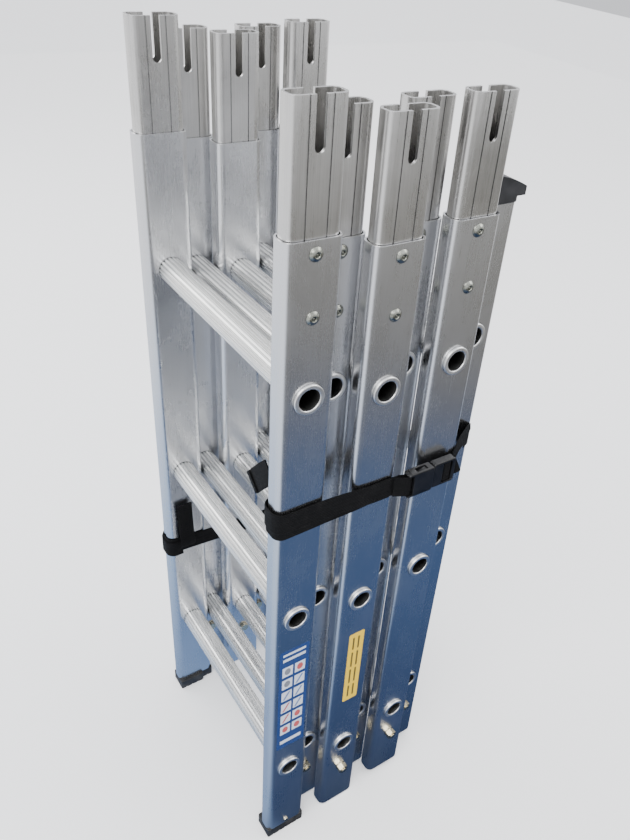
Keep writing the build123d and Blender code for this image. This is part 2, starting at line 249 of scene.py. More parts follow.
def aluminium(name, light, dark, rough, line_scale, edge_round=0.00022, mottle=0.5, relief=0.03):
    """Mill finish extrusion: lines along Z, cloudy oxide, small dings, worn edges, painted shade in the
    hollows and along the joints.
    """
    g = Graph(name)
    lines = g.noise(g.coords(FINE_LINES), line_scale, detail=3.0, roughness=0.7)
    broad = g.noise(g.coords(BROAD_LINES), 130.0, detail=2.0, roughness=0.5)
    cloud = g.noise(g.coords(CLOUDS), 9.0, detail=7.0, roughness=0.66, distortion=0.4)
    speck = g.voronoi(g.coords(SPECKS), 160.0)
    scratch = g.noise(g.coords(SCRATCHES), 420.0, detail=2.0, roughness=0.5)
    edge, rounded = g.edges(edge_round)
    colour = g.mix(g.map(g.total((lines, 0.3), (cloud, mottle)), 0.20, 0.62), dark, light)
    dings = g.grey(speck, [(0.0, 1.0), (0.05, 1.0), (0.085, 0.0)])
    dings = g.math("MULTIPLY", dings, g.grey(cloud, [(0.5, 0.0), (0.62, 1.0)]))
    colour = g.lay(colour, dings, 0.16, tuple(c * 0.6 for c in dark))
    colour = g.lay(colour, edge, 0.4, METAL_EDGE)
    # Painted shade: near black laid where ambient occlusion finds hollows and contact lines.
    colour = g.lay(colour, g.hollows(0.0020, 0.30, 0.86), 0.92, METAL_HOLLOW_SHADE)
    roughness = g.math("ADD", g.vary(cloud, rough - 0.05, rough + 0.08), g.vary(lines, -0.015, 0.02))
    height = g.total((lines, 0.6), (broad, 0.3), (scratch, 0.10))
    height = g.math("SUBTRACT", height, g.math("MULTIPLY", dings, 0.07))
    normal = g.bump(height, relief, 0.0004, rounded)
    return g.set(Base_Color=colour, Metallic=1.0, Roughness=roughness, Normal=normal)


def rung_aluminium():
    """Bright ribs, grain along X, painted shade in the grooves, in the bore and along the line where the
    rungs enter the stiles.
    """
    g = Graph("rung_aluminium")
    lines = g.noise(g.coords(RUNG_LINES), 620.0, detail=3.0, roughness=0.7)
    cloud = g.noise(g.coords(), 16.0, detail=5.0, distortion=0.3)
    edge, rounded = g.edges(0.00012)
    scuff = g.noise(g.coords(RUNG_SCUFFS), 90.0, detail=3.0, roughness=0.7)
    colour = g.mix(g.map(g.math("ADD", lines, cloud), 0.75, 1.25), RUNG_DARK, RUNG_LIGHT)
    colour = g.mix(g.grey(scuff, [(0.6, 0.0), (0.75, 0.25)]), colour, RUNG_SCUFF)
    colour = g.lay(colour, edge, 0.25, RUNG_EDGE)
    # Painted shade in the rib grooves, from ambient occlusion.
    groove_shade = g.hollows(0.0022, 0.42, 0.90, samples=12, own=True)
    colour = g.lay(colour, groove_shade, 0.92, RUNG_GROOVE_SHADE)
    # Painted shade inside the hollow bore, from wide ambient occlusion.
    colour = g.lay(colour, g.hollows(0.050, 0.24, 0.56, own=True), 0.95, RUNG_BORE_SHADE)
    # Painted shade along the line where the rungs meet the stiles.
    contact_shade = g.hollows(0.0040, 0.30, 0.72)
    colour = g.lay(colour, contact_shade, 0.7, RUNG_CONTACT_SHADE)
    # Painted shade, near black, where the grooves reach the stiles.
    notch_shade = g.math("MULTIPLY", g.map(groove_shade, 0.20, 0.55), g.map(contact_shade, 0.08, 0.35))
    colour = g.mix(notch_shade, colour, RUNG_NOTCH_SHADE)
    roughness = g.map(g.math("ADD", cloud, scuff), 0.7, 1.3, 0.27, 0.42)
    normal = g.bump(g.math("ADD", lines, scuff), 0.040, 0.0003, rounded)
    return g.set(Base_Color=colour, Metallic=1.0, Roughness=roughness, Normal=normal)


def zinc(name, light, dark, rough):
    """Plated or plain small hardware: patches of two tones, brighter edges, painted shade in the hollows."""
    g = Graph(name)
    patch = g.noise(g.coords(), 320.0, detail=5.0, roughness=0.65)
    fine = g.noise(g.coords(), 2600.0, detail=2.0, roughness=0.5)
    edge, rounded = g.edges(0.00025)
    colour = g.mix(g.map(patch, 0.35, 0.65), dark, light)
    colour = g.lay(colour, edge, 0.55, PLATED_EDGE)
    # Painted shade: near black laid where ambient occlusion finds hollows and contact lines.
    colour = g.lay(colour, g.hollows(0.0015, 0.15, 0.7), 0.85, PLATED_HOLLOW_SHADE)
    roughness = g.vary(patch, rough, rough + 0.16)
    normal = g.bump(fine, 0.2, 0.0002, rounded)
    return g.set(Base_Color=colour, Metallic=1.0, Roughness=roughness, Normal=normal)


def black_solid(name, base, worn, rough, grain, edge_gain):
    """Moulded rubber or plastic: fine spark grain, dusty patches, paler worn edges."""
    g = Graph(name)
    fine = g.noise(g.coords(), grain, detail=3.0)
    patch = g.noise(g.coords(), 45.0, detail=5.0, roughness=0.65, distortion=0.3)
    edge, rounded = g.edges(0.0007)
    colour = g.mix(g.grey(patch, [(0.42, 0.0), (0.72, 0.8)]), base, worn)
    colour = g.lay(colour, edge, edge_gain, tuple(min(1, 3.2 * c) for c in worn))
    roughness = g.vary(patch, rough, rough + 0.15)
    return g.set(Base_Color=colour, Roughness=roughness, Normal=g.bump(fine, 0.3, 0.0003, rounded))


def webbing_material():
    """Flat woven tape. The attribute "tape" holds metres along and metres across."""
    g = Graph("black_webbing")
    along, across = g.stored("tape")
    turn = 2 * math.pi
    warp = g.math("SINE", g.math("MULTIPLY", across, turn / WARP_PITCH))
    weft = g.math("SINE", g.math("MULTIPLY", along, turn / WEFT_PITCH))
    twill = g.math("SINE", g.total((along, turn / TWILL_ALONG), (across, turn / TWILL_ACROSS)))
    height = g.total((g.math("MULTIPLY", warp, weft), 0.5), (twill, 0.35), (warp, 0.25))
    fuzz = g.noise(g.coords(), 1800.0, detail=3.0, roughness=0.7)
    dust = g.noise(g.coords(), 60.0, detail=5.0, roughness=0.65)
    # Painted shade and highlight: the weave's low parts darker, its raised yarns lighter.
    colour = g.mix(g.map(height, -0.8, 0.9), YARN_LOW_SHADE, YARN_RAISED_HIGHLIGHT)
    colour = g.mix(g.grey(dust, [(0.5, 0.0), (0.8, 0.35)]), colour, YARN_DUST)
    colour = g.mix(g.grey(fuzz, [(0.58, 0.0), (0.80, 0.6)]), colour, YARN_FUZZ)
    normal = g.bump(g.math("ADD", height, g.math("MULTIPLY", fuzz, 0.4)), 0.75, 0.0005)
    g.set(Sheen_Weight=0.008, Sheen_Roughness=0.5, Specular_IOR_Level=0.07)
    return g.set(Base_Color=colour, Roughness=g.vary(fuzz, 0.62, 0.8), Normal=normal)


STICKER_BLUE = (0.012, 0.040, 0.155)
STICKER_PANEL = (0.50, 0.54, 0.62)
STICKER_STRIPE = (0.62, 0.66, 0.72)
MARK_NAVY, MARK_RED, MARK_GREY = (0.10, 0.16, 0.34), (0.42, 0.07, 0.07), (0.16, 0.17, 0.2)
STICKER_YELLOW = (0.72, 0.47, 0.010)
STICKER_BAR = (0.035, 0.03, 0.02)


def label_material(name, ground):
    """A printed sticker's worn ground. The attribute "print" runs from 0 to 1 across it and up it."""
    g = Graph(name)
    x, y = g.stored("print")
    wear = g.noise(g.coords(), 70.0, detail=6.0, roughness=0.7)
    colour = g.mix(g.grey(wear, [(0.45, 0.0), (0.75, 0.3)]), ground, tuple(c * 0.7 for c in ground))
    return g, x, y, wear, colour


def label_finish(g, colour, wear, smoothest, roughest):
    normal = g.bump(wear, 0.08, 0.0003)
    return g.set(Base_Color=colour, Roughness=g.vary(wear, smoothest, roughest), Normal=normal)


def pictogram_label():
    """Blue sticker with no lettering: two columns of pale panels, each with a small abstract mark."""
    g, x, y, wear, colour = label_material("panel_sticker", STICKER_BLUE)
    columns, rows = 2.0, 6.0
    across, along = (0.08, 0.92), (0.14, 0.86)
    u, v = g.map(x, *across, 0.0, columns), g.map(y, *along, 0.0, rows)
    fu, fv = g.math("FRACT", u), g.math("FRACT", v)
    panel = g.window(fu, fv, (0.08, 0.92), (0.12, 0.88))
    panel = g.math("MULTIPLY", panel, g.window(x, y, across, along))
    colour = g.mix(panel, colour, STICKER_PANEL)
    cell = g.node("ShaderNodeCombineXYZ")
    g.link(g.math("FLOOR", u), cell.inputs[0])
    g.link(g.math("FLOOR", v), cell.inputs[1])
    pick = g.node("ShaderNodeTexWhiteNoise", noise_dimensions="3D")
    g.link(cell.outputs[0], pick.inputs["Vector"])
    du, dv = g.math("SUBTRACT", fu, 0.5), g.math("SUBTRACT", fv, 0.5)
    disc = g.math("ADD", g.math("MULTIPLY", du, du), g.math("MULTIPLY", dv, dv))
    disc = g.math("LESS_THAN", disc, 0.06)
    slash = g.math("ABSOLUTE", g.math("SUBTRACT", du, g.math("MULTIPLY", dv, 0.8)))
    slash = g.math("LESS_THAN", slash, 0.09)
    slash = g.math("MULTIPLY", slash, g.math("LESS_THAN", g.math("ABSOLUTE", dv), 0.3))
    chosen = g.math("GREATER_THAN", pick.outputs["Value"], 0.5)
    disc = g.math("MULTIPLY", disc, chosen)
    slash = g.math("MULTIPLY", slash, g.math("SUBTRACT", 1.0, chosen))
    mark = g.math("MULTIPLY", g.math("ADD", disc, slash, clamp=True), panel)
    tints = [(0.0, MARK_NAVY), (0.35, MARK_NAVY), (0.36, MARK_RED), (0.7, MARK_RED), (0.71, MARK_GREY)]
    colour = g.mix(mark, colour, g.ramp(pick.outputs["Value"], tints))
    stripe = g.math("ADD", g.inside(y, 0.90, 0.925), g.inside(y, 0.95, 0.97))
    stripe = g.math("ADD", stripe, g.inside(y, 0.05, 0.085), clamp=True)
    stripe = g.math("MULTIPLY", stripe, g.inside(x, 0.12, 0.88))
    colour = g.lay(colour, stripe, 0.8, STICKER_STRIPE)
    return label_finish(g, colour, wear, 0.28, 0.45)


def lined_label():
    """Yellow sticker with no lettering: two lines of dark bars."""
    g, x, y, wear, colour = label_material("yellow_sticker", STICKER_YELLOW)
    bars_in_line = 4.0
    bars = g.inside(g.math("FRACT", g.math("MULTIPLY", y, bars_in_line)), 0.08, 0.92)
    lines = g.math("ADD", g.inside(x, 0.26, 0.38), g.inside(x, 0.60, 0.72), clamp=True)
    bars = g.math("MULTIPLY", g.math("MULTIPLY", lines, bars), g.inside(y, 0.06, 0.94))
    colour = g.lay(colour, bars, 0.9, STICKER_BAR)
    return label_finish(g, colour, wear, 0.3, 0.48)


STILE_METAL = aluminium("stile_aluminium", STILE_LIGHT, STILE_DARK, 0.26, 1100.0)
SPIGOT_METAL = aluminium(
    "spigot_aluminium", SPIGOT_LIGHT, SPIGOT_DARK, 0.26, 1000.0, edge_round=0.0002, mottle=0.56, relief=0.060
)
RUNG_METAL = rung_aluminium()
RIVET_METAL = zinc("rivet_metal", RIVET_LIGHT, RIVET_DARK, 0.19)
BOLT_METAL = zinc("bolt_zinc", BOLT_LIGHT, BOLT_DARK, 0.16)
RUBBER = black_solid("foot_rubber", RUBBER_BLACK, RUBBER_WORN, 0.55, 1500.0, 0.35)
CAP_PLASTIC = black_solid("cap_plastic", CAP_BLACK, CAP_WORN, 0.38, 1200.0, 0.3)
BUCKLE_PLASTIC = black_solid("buckle_plastic", BUCKLE_BLACK, BUCKLE_WORN, 0.24, 1400.0, 0.35)
TAPE = webbing_material()
LOOKS = {
    "stile": STILE_METAL, "rung": RUNG_METAL, "spigot": SPIGOT_METAL, "rivet": RIVET_METAL,
    "bolt": BOLT_METAL, "screw": BOLT_METAL, "foot": RUBBER, "cap": CAP_PLASTIC,
    "buckle": BUCKLE_PLASTIC, "webbing": TAPE,
}
for node, obj in NODES.items():
    obj.data.materials.clear()
    obj.data.materials.append(LOOKS[SLOT_OF[node]])

# ---------------------------------------------------------------- mesh helpers


def mesh_object(name, verts, faces, material, body):
    mesh = bpy.data.meshes.new(name)
    mesh.from_pydata([tuple(v) for v in verts], [], faces)
    mesh.update()
    obj = bpy.data.objects.new(name, mesh)
    bpy.context.scene.collection.objects.link(obj)
    mesh.materials.append(material)
    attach(obj, body)
    return obj


def store(obj, name, vectors):
    """Keep a vector at each point of a mesh, for its material."""
    attribute = obj.data.attributes.new(name, "FLOAT_VECTOR", "POINT")
    attribute.data.foreach_set("vector", [c for v in vectors for c in v])


def face_outwards(obj):
    bm = bmesh.new()
    bm.from_mesh(obj.data)
    bmesh.ops.recalc_face_normals(bm, faces=bm.faces)
    bm.to_mesh(obj.data)
    bm.free()


def smooth(obj, angle):
    """Smooth shading, with edges sharper than an angle in degrees kept sharp."""
    for p in obj.data.polygons:
        p.use_smooth = True
    modifier = obj.modifiers.new("edges", "EDGE_SPLIT")
    modifier.split_angle = math.radians(angle)


def hull(points):
    """The convex outline of plan points, anticlockwise."""
    points = sorted(set(points))

    def half(ordered):
        chain = []
        for p in ordered:
            while len(chain) > 1:
                (ax, ay), (bx, by) = chain[-2], chain[-1]
                if (bx - ax) * (p[1] - ay) - (by - ay) * (p[0] - ax) > 1e-9:
                    break
                chain.pop()
            chain.append(p)
        return chain[:-1]

    return half(points) + half(points[::-1])


def rounded(points, radius=0.0015, steps=4):
    """The same chain of plan points, with each corner turned into a short curve."""
    points = [Vector(p) for p in points]
    out = [points[0]]
    for a, b, c in zip(points, points[1:], points[2:]):
        cut = min(radius, (b - a).length * 0.45, (c - b).length * 0.45)
        p, q = b + (a - b).normalized() * cut, b + (c - b).normalized() * cut
        for i in range(steps + 1):
            t = i / steps
            out.append(p * (1 - t) ** 2 + b * (2 * t * (1 - t)) + q * t**2)
    return out + [points[-1]]


def level(table, y):
    """A height read from a short table of (place, height), eased between its rows."""
    if y <= table[0][0]:
        return table[0][1]
    for (a, za), (b, zb) in zip(table, table[1:]):
        if y <= b:
            t = (y - a) / (b - a)
            return za + (zb - za) * t * t * (3 - 2 * t)
    return table[-1][1]


# ---------------------------------------------------------------- floor, light and camera

FLOOR_GREY, FLOOR_WHITE = (0.92, 0.92, 0.925), (0.95, 0.95, 0.95)
FLOOR_GLOW = 0.40
FLOOR_HALF = 8
MAT_HALF = 5
MAT_HEIGHT = 0.002
MAT_REACH = 4.0
MAT_TOWARD = (0.87, 0.49, 0.0)
# Near the middle both ramps are darker: a painted shadow of the ladders on the reflected ground.
DUSK = [
    (0.03, (0.030, 0.045, 0.085)), (0.07, (0.045, 0.080, 0.185)), (0.16, (0.070, 0.130, 0.285)),
    (0.26, (0.095, 0.150, 0.285)), (0.31, (0.165, 0.170, 0.200)), (0.36, (0.245, 0.240, 0.225)),
    (0.6, (0.31, 0.30, 0.275)), (1.0, (0.42, 0.42, 0.41)),
]
PALE = [
    (0.03, (0.24, 0.37, 0.66)), (0.12, (0.55, 0.76, 1.12)), (0.26, (1.12, 1.26, 1.50)),
    (0.45, (1.48, 1.52, 1.60)), (1.0, (1.60, 1.60, 1.62)),
]
AREA_LIGHTS = (
    ("key", (1.4, -2.2, 3.0), (0, 0, 0.5), (2.4, 2.4), 95),
    ("fill", (-2.6, -1.2, 2.0), (0, 0, 0.6), (2.0, 2.0), 45),
    ("back", (0.8, 2.6, 2.6), (0, 0, 0.6), (2.4, 1.6), 40),
)
DOME_COLOUR = (0.94, 0.955, 1.0, 1)
DOME_RANGE = (("From Min", 0.0), ("From Max", 0.9), ("To Min", 0.95), ("To Max", 1.75))


def square(name, half, z, material):
    """A level square round the origin."""
    obj = bpy.data.objects.new(name, bpy.data.meshes.new(name))
    bpy.context.scene.collection.objects.link(obj)
    corners = [(-half, -half, z), (half, -half, z), (half, half, z), (-half, half, z)]
    obj.data.from_pydata(corners, [], [(0, 1, 2, 3)])
    obj.data.materials.append(material)
    return obj


def floor_material():
    g = Graph("floor")
    g.set(Base_Color=g.mix(g.noise(g.coords(), 3.0), FLOOR_GREY, FLOOR_WHITE), Roughness=0.7)
    return g.set(Emission_Color=(1, 1, 1, 1), Emission_Strength=FLOOR_GLOW)


def mat_material():
    """A glow that changes with the distance from the middle: dusky blue on one side, pale on the other."""
    g = Graph("blue_mat")
    g.tree.nodes.remove(g.bsdf)
    spread = g.node("ShaderNodeTexCoord")
    reach = g.node("ShaderNodeVectorMath", operation="LENGTH")
    g.link(spread.outputs["Object"], reach.inputs[0])
    far = g.map(reach.outputs["Value"], 0.0, MAT_REACH)
    dusk, pale = g.ramp(far, DUSK), g.ramp(far, PALE)
    toward = g.node("ShaderNodeVectorMath", operation="NORMALIZE")
    g.link(spread.outputs["Object"], toward.inputs[0])
    facing = g.node("ShaderNodeVectorMath", operation="DOT_PRODUCT")
    facing.inputs[1].default_value = MAT_TOWARD
    g.link(toward.outputs[0], facing.inputs[0])
    glow = g.node("ShaderNodeEmission")
    g.link(g.mix(g.map(facing.outputs["Value"], 0.20, 0.50, 1.0, 0.0), dusk, pale), glow.inputs["Color"])
    glow.inputs["Strength"].default_value = 1.0
    g.link(glow.outputs[0], g.tree.nodes["Material Output"].inputs["Surface"])
    return g.material


def area_light(name, place, target, size, power):
    light = bpy.data.lights.new(name, "AREA")
    light.shape = "RECTANGLE"
    light.size, light.size_y = size
    light.energy = power
    obj = bpy.data.objects.new(name, light)
    bpy.context.scene.collection.objects.link(obj)
    obj.location = place
    obj.rotation_euler = (Vector(target) - Vector(place)).to_track_quat("-Z", "Y").to_euler()


def studio_dome():
    """A soft world light, brighter overhead than at the horizon."""
    world = bpy.data.worlds.new("studio")
    world.use_nodes = True
    tree = world.node_tree
    background = tree.nodes["Background"]
    background.inputs["Color"].default_value = DOME_COLOUR
    direction = tree.nodes.new("ShaderNodeTexCoord")
    split = tree.nodes.new("ShaderNodeSeparateXYZ")
    tree.links.new(direction.outputs["Generated"], split.inputs[0])
    strength = tree.nodes.new("ShaderNodeMapRange")
    for name, value in DOME_RANGE:
        strength.inputs[name].default_value = value
    tree.links.new(split.outputs[2], strength.inputs["Value"])
    tree.links.new(strength.outputs["Result"], background.inputs["Strength"])
    bpy.context.scene.world = world


floor = square("floor", FLOOR_HALF, 0, floor_material())

# The mat is seen only in the metal. It stands for the blue and grey that the photograph's stiles reflect.
mat = square("blue_mat", MAT_HALF, MAT_HEIGHT, mat_material())
mat.visible_camera = False
mat.visible_diffuse = False
mat.visible_shadow = False

for values in AREA_LIGHTS:
    area_light(*values)
studio_dome()

# The camera's place is measured from the middle of section 1's front, at the height of the top rung.
# Its angles are in degrees, its sensor and lens in millimetres, and its shift in parts of the sensor.
CAMERA_PLACE = (0.6734, -0.3003, 0.3992)
CAMERA_YAW, CAMERA_PITCH, CAMERA_ROLL = 51.4, -36.1, 6.4
CAMERA_SENSOR = 36
CAMERA_LENS = 33.707142
CAMERA_SHIFT_X, CAMERA_SHIFT_Y = -0.06380952, 0.025238095


def photo_camera():
    """The camera at the photograph's viewing angle."""
    middle = (STILES[1, -1][0].x + STILES[1, 1][1].x) / 2
    place = Vector((middle, FRONT, TOP_RUNG)) + Vector(CAMERA_PLACE)
    yaw, pitch, roll = math.radians(CAMERA_YAW), math.radians(CAMERA_PITCH), math.radians(CAMERA_ROLL)
    ahead = Vector((-math.sin(yaw) * math.cos(pitch), math.cos(yaw) * math.cos(pitch), math.sin(pitch)))
    right = Vector((math.cos(yaw), math.sin(yaw), 0))
    up = right.cross(ahead)
    right, up = math.cos(roll) * right + math.sin(roll) * up, -math.sin(roll) * right + math.cos(roll) * up
    data = bpy.data.cameras.new("camera")
    data.sensor_fit = "AUTO"
    data.sensor_width = CAMERA_SENSOR
    data.lens = CAMERA_LENS
    data.shift_x, data.shift_y = CAMERA_SHIFT_X, CAMERA_SHIFT_Y
    data.clip_start = 0.01
    camera = bpy.data.objects.new("camera", data)
    bpy.context.scene.collection.objects.link(camera)
    rotation = Matrix((right, up, -ahead)).transposed()
    camera.matrix_world = Matrix.Translation(place) @ rotation.to_4x4()
    bpy.context.scene.camera = camera


photo_camera()

# ---------------------------------------------------------------- webbing

TAPE_COLUMNS = 18
TAPE_RIBS = 5
RIB_DEPTH = 0.00012
SELVEDGE = 0.0016
THINNEST = 0.0001
TAPE_CREASE = 50
LINE_STEP = 0.005
TURN_STEP = 9
CURVE_STEPS = 8
REACH = STILE_CORNER + CLEARANCE + WEBBING / 2
LAYER = WEBBING + 0.0001


def tape_section(width):
    """A section of webbing as (across, lift): a flat shape with rounded selvedges and shallow ribs."""
    ring = []
    for i in range(TAPE_COLUMNS + 1):
        t = -width / 2 + width * i / TAPE_COLUMNS
        edge = min(1.0, (width / 2 - abs(t)) / SELVEDGE)
        rib = RIB_DEPTH * math.cos(2 * math.pi * t / (width / TAPE_RIBS))
        lift = WEBBING / 2 * math.sqrt(max(0.0, 1 - (1 - edge) ** 2)) + (rib - RIB_DEPTH if edge >= 1 else 0)
        ring.append((t, max(lift, THINNEST)))
    return ring + [(t, -lift) for t, lift in reversed(ring)]


def tape(name, points, width):
    """Webbing along (place, across direction) points. "tape" holds metres along, across and up."""
    ring = tape_section(width)
    verts, faces, coords = [], [], []
    run = 0.0
    n = len(points)
    for i, (p, across) in enumerate(points):
        before, after = points[max(i - 1, 0)][0], points[min(i + 1, n - 1)][0]
        ahead = (after - before).normalized()
        across = (across - ahead * across.dot(ahead)).normalized()
        lift = ahead.cross(across).normalized()
        if i:
            run += (p - points[i - 1][0]).length
        for t, h in ring:
            verts.append(p + across * t + lift * h)
            coords.append((run, t, h))
    m = len(ring)
    for i in range(n - 1):
        a, b = i * m, (i + 1) * m
        for j in range(m):
            k = (j + 1) % m
            faces.append((a + j, a + k, b + k, b + j))
    faces.append(tuple(reversed(range(m))))
    faces.append(tuple(range((n - 1) * m, n * m)))
    obj = mesh_object(name, verts, faces, TAPE, "bundle")
    store(obj, "tape", coords)
    face_outwards(obj)
    smooth(obj, TAPE_CREASE)
    return obj


def loop_line(side, radius):
    """The line round one side's stiles, at a distance from their corner centres.

    It runs anticlockwise, with X turned to point outwards on both sides.
    """
    centres = []
    for k in SECTIONS:
        lo, hi = STILES[k, side]
        for x in (lo.x + STILE_CORNER, hi.x - STILE_CORNER):
            for y in (lo.y + STILE_CORNER, hi.y - STILE_CORNER):
                centres.append((round(side * x, 6), round(y, 6)))
    corners = hull(centres)
    line = []
    n = len(corners)
    for i in range(n):
        a, b, c = (Vector(corners[j % n]) for j in (i - 1, i, i + 1))
        before, after = (b - a).normalized(), (c - b).normalized()
        start = math.atan2(-before.x, before.y)
        end = math.atan2(-after.x, after.y)
        while end < start:
            end += 2 * math.pi
        turns = max(1, round((end - start) / math.radians(TURN_STEP)))
        for t in range(turns + 1):
            angle = start + (end - start) * t / turns
            line.append(b + radius * Vector((math.cos(angle), math.sin(angle))))
        normal = Vector((math.cos(end), math.sin(end)))
        pieces = max(1, round((c - b).length / LINE_STEP))
        line += [b + (c - b) * (t / pieces) + radius * normal for t in range(1, pieces)]
    return line


def stretch(line, start, end):
    """The part of a closed line between the points nearest to two places."""

    def nearest(place):
        return min(range(len(line)), key=lambda i: (line[i] - Vector(place)).length)

    begin = nearest(start)
    count = (nearest(end) - begin) % len(line)
    return [line[(begin + i) % len(line)] for i in range(count + 1)]


class Buckle:
    """Where one side's buckle lies. Places on it are (distance behind its middle, height over its base)."""

    def __init__(self, name):
        socket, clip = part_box(f"{name}_buckle_socket"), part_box(f"{name}_buckle_clip")
        self.base = min(abs(socket[0].x), abs(socket[1].x))
        self.front, self.middle, self.back = socket[0].y, socket[1].y, clip[1].y
        self.height = (socket[0].z + socket[1].z) / 2
        self.width = socket[1].z - socket[0].z

    def plan(self, path):
        return [(self.base + w, self.middle + u) for u, w in path]


BUCKLES = {name: Buckle(name) for name, _ in SIDES}
RIGHT, LEFT = BUCKLES["right"], BUCKLES["left"]
RIGHT_Z, LEFT_Z = RIGHT.height, LEFT.height
SOCKET_WALLS = 0.0066
TAPE_WIDTH = RIGHT.width - SOCKET_WALLS
LEFT_TAIL_WIDTH = 0.0225

# The webbing's way through the clip and round the socket's bar, as places on a buckle
CLIP_THREAD = [
    (0.0405, 0.0042), (0.036, 0.0032), (0.034, 0.0030), (0.0256, 0.0030), (0.0256, 0.0076),
    (0.0164, 0.0076), (0.0164, 0.0012),
]
SOCKET_THREAD = [
    (-0.042, 0.0004), (-0.038, 0.0018), (-0.0304, 0.0018), (-0.0304, 0.0082), (-0.037, 0.0082),
    (-0.050, 0.0014),
]
OUTER_BAND = 0.030

# Heights of the webbing on the outer faces, by distance from front to back
RIGHT_RUN = [
    (FRONT, RIGHT_Z - 0.0055), (FRONT + 0.085, RIGHT_Z - 0.003), (RIGHT.front - 0.02, RIGHT_Z),
    (RIGHT.back + 0.002, RIGHT_Z), (RIGHT.back + 0.024, RIGHT_Z + 0.0115), (BACK - 0.016, RIGHT_Z + 0.011),
    (BACK, RIGHT_Z + 0.001),
]
LEFT_RUN = [
    (FRONT, LEFT_Z + 0.002), (FRONT + 0.08, LEFT_Z), (LEFT.front - 0.02, LEFT_Z), (LEFT.back + 0.01, LEFT_Z),
    (BACK, LEFT_Z - 0.002),
]
RIGHT_INNER_DROP = 0.004
LEFT_INNER_RISE = [(FRONT, 0.002), (0.0, -0.004), (BACK, -0.002)]
RIGHT_SECOND = [(FRONT, RIGHT_Z + 0.0040), (FRONT + 0.05, RIGHT_Z + 0.0045), (RIGHT.front - 0.030, RIGHT_Z)]
LEFT_SECOND = [(FRONT, LEFT_Z - 0.0035), (FRONT + 0.05, LEFT_Z - 0.003), (LEFT.front - 0.030, LEFT_Z)]


def make_strap(name, side, table, inner_level):
    """The main run of one strap: out of the clip, round the stiles, and through the socket's bar."""
    buckle = BUCKLES[name]
    start, end = (buckle.base, buckle.back - 0.001), (buckle.base, buckle.front - 0.021)
    run = stretch(loop_line(side, REACH), start, end)
    at_clip = rounded(buckle.plan(CLIP_THREAD) + [run[0]])[:-1]
    at_socket = rounded([run[-1]] + buckle.plan(SOCKET_THREAD))[1:]
    outer = max(p[0] for p in run)
    points = []
    for p in at_clip + run + at_socket:
        z = level(table, p[1]) if p[0] > outer - OUTER_BAND else inner_level(p)
        points.append((Vector((side * p[0], p[1], z)), UP))
    main = tape(f"{name}_strap_webbing", points, TAPE_WIDTH)
    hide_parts(f"{name}_strap")


def second_layer(name, side, table, turn_end):
    """Webbing that lies on the main run, from the buckle forwards and round the front stile."""
    buckle = BUCKLES[name]
    run = stretch(loop_line(side, REACH + LAYER), turn_end, (buckle.base, buckle.front - 0.018))
    points = [(Vector((side * p[0], p[1], level(table, p[1]))), UP) for p in run]
    tape(f"{name}_strap_second_layer", points, TAPE_WIDTH)


def free_tape(name, path, width):
    """Webbing through a few (place, across) knots, smoothed with a Catmull-Rom curve."""
    places = [Vector(p) for p, _ in path]
    acrosses = [Vector(a).normalized() for _, a in path]
    ends = [2 * places[0] - places[1]] + places + [2 * places[-1] - places[-2]]
    points = []
    for i in range(1, len(ends) - 2):
        a, b, c, d = ends[i - 1:i + 3]
        for j in range(CURVE_STEPS):
            t = j / CURVE_STEPS
            square_term = (2 * a - 5 * b + 4 * c - d) * t**2
            cube_term = (3 * b - a - 3 * c + d) * t**3
            p = 0.5 * (2 * b + (c - a) * t + square_term + cube_term)
            points.append((p, acrosses[i - 1].lerp(acrosses[i], t)))
    points.append((places[-1], acrosses[-1]))
    tape(name, points, width)


def right_tail():
    """The loose end: it is tucked up behind the front stile, folds over and hangs down to the left."""
    x, y, z = INNER_RIGHT, FRONT, RIGHT_Z
    slope = Vector((-0.551, 0.834, 0))
    riser = [
        ((x - 0.0072, y + 0.0168, z - 0.011), slope), ((x - 0.0078, y + 0.0164, z + 0.014), slope),
        ((x - 0.0090, y + 0.0155, z + 0.034), slope), ((x - 0.0100, y + 0.0150, z + 0.047), slope),
    ]
    free_tape("right_tail_riser", riser, TAPE_WIDTH - 0.004)
    lie, foot, hem_lie = Vector((0.80, 0.0, -0.60)), Vector((0.83, 0.0, -0.56)), Vector((0.82, 0, -0.57))
    flap = [
        ((x - 0.0125, y + 0.0118, z + 0.042), lie), ((x - 0.0240, y + 0.0112, z + 0.030), lie),
        ((x - 0.0370, y + 0.0118, z + 0.0155), lie), ((x - 0.0520, y + 0.0145, z - 0.0010), foot),
    ]
    free_tape("right_tail_flap", flap, TAPE_WIDTH)
    hem = [
        ((x - 0.0462, y + 0.0112, z + 0.0052), hem_lie), ((x - 0.0495, y + 0.0119, z + 0.0017), hem_lie),
        ((x - 0.0524, y + 0.0127, z - 0.0014), foot),
    ]
    free_tape("right_tail_hem", hem, TAPE_WIDTH - 0.0008)


def left_tail():
    """The other loose end, folded at its foot and stood up against the front stile's inner face."""
    x, y, z = -INNER_LEFT + CLEARANCE + LAYER + WEBBING, FRONT, LEFT_Z
    along = Vector((0, 1, 0))
    stand = [
        ((x + 0.0002, y + 0.0262, z + 0.004), along), ((x + 0.0036, y + 0.0258, z + 0.0005), along),
        ((x + 0.0052, y + 0.0254, z + 0.010), along), ((x + 0.0026, y + 0.0250, z + 0.030), along),
        ((x + 0.0016, y + 0.0246, z + 0.058), along), ((x + 0.0024, y + 0.0240, z + 0.080), along),
    ]
    free_tape("left_tail_stand", stand, LEFT_TAIL_WIDTH)


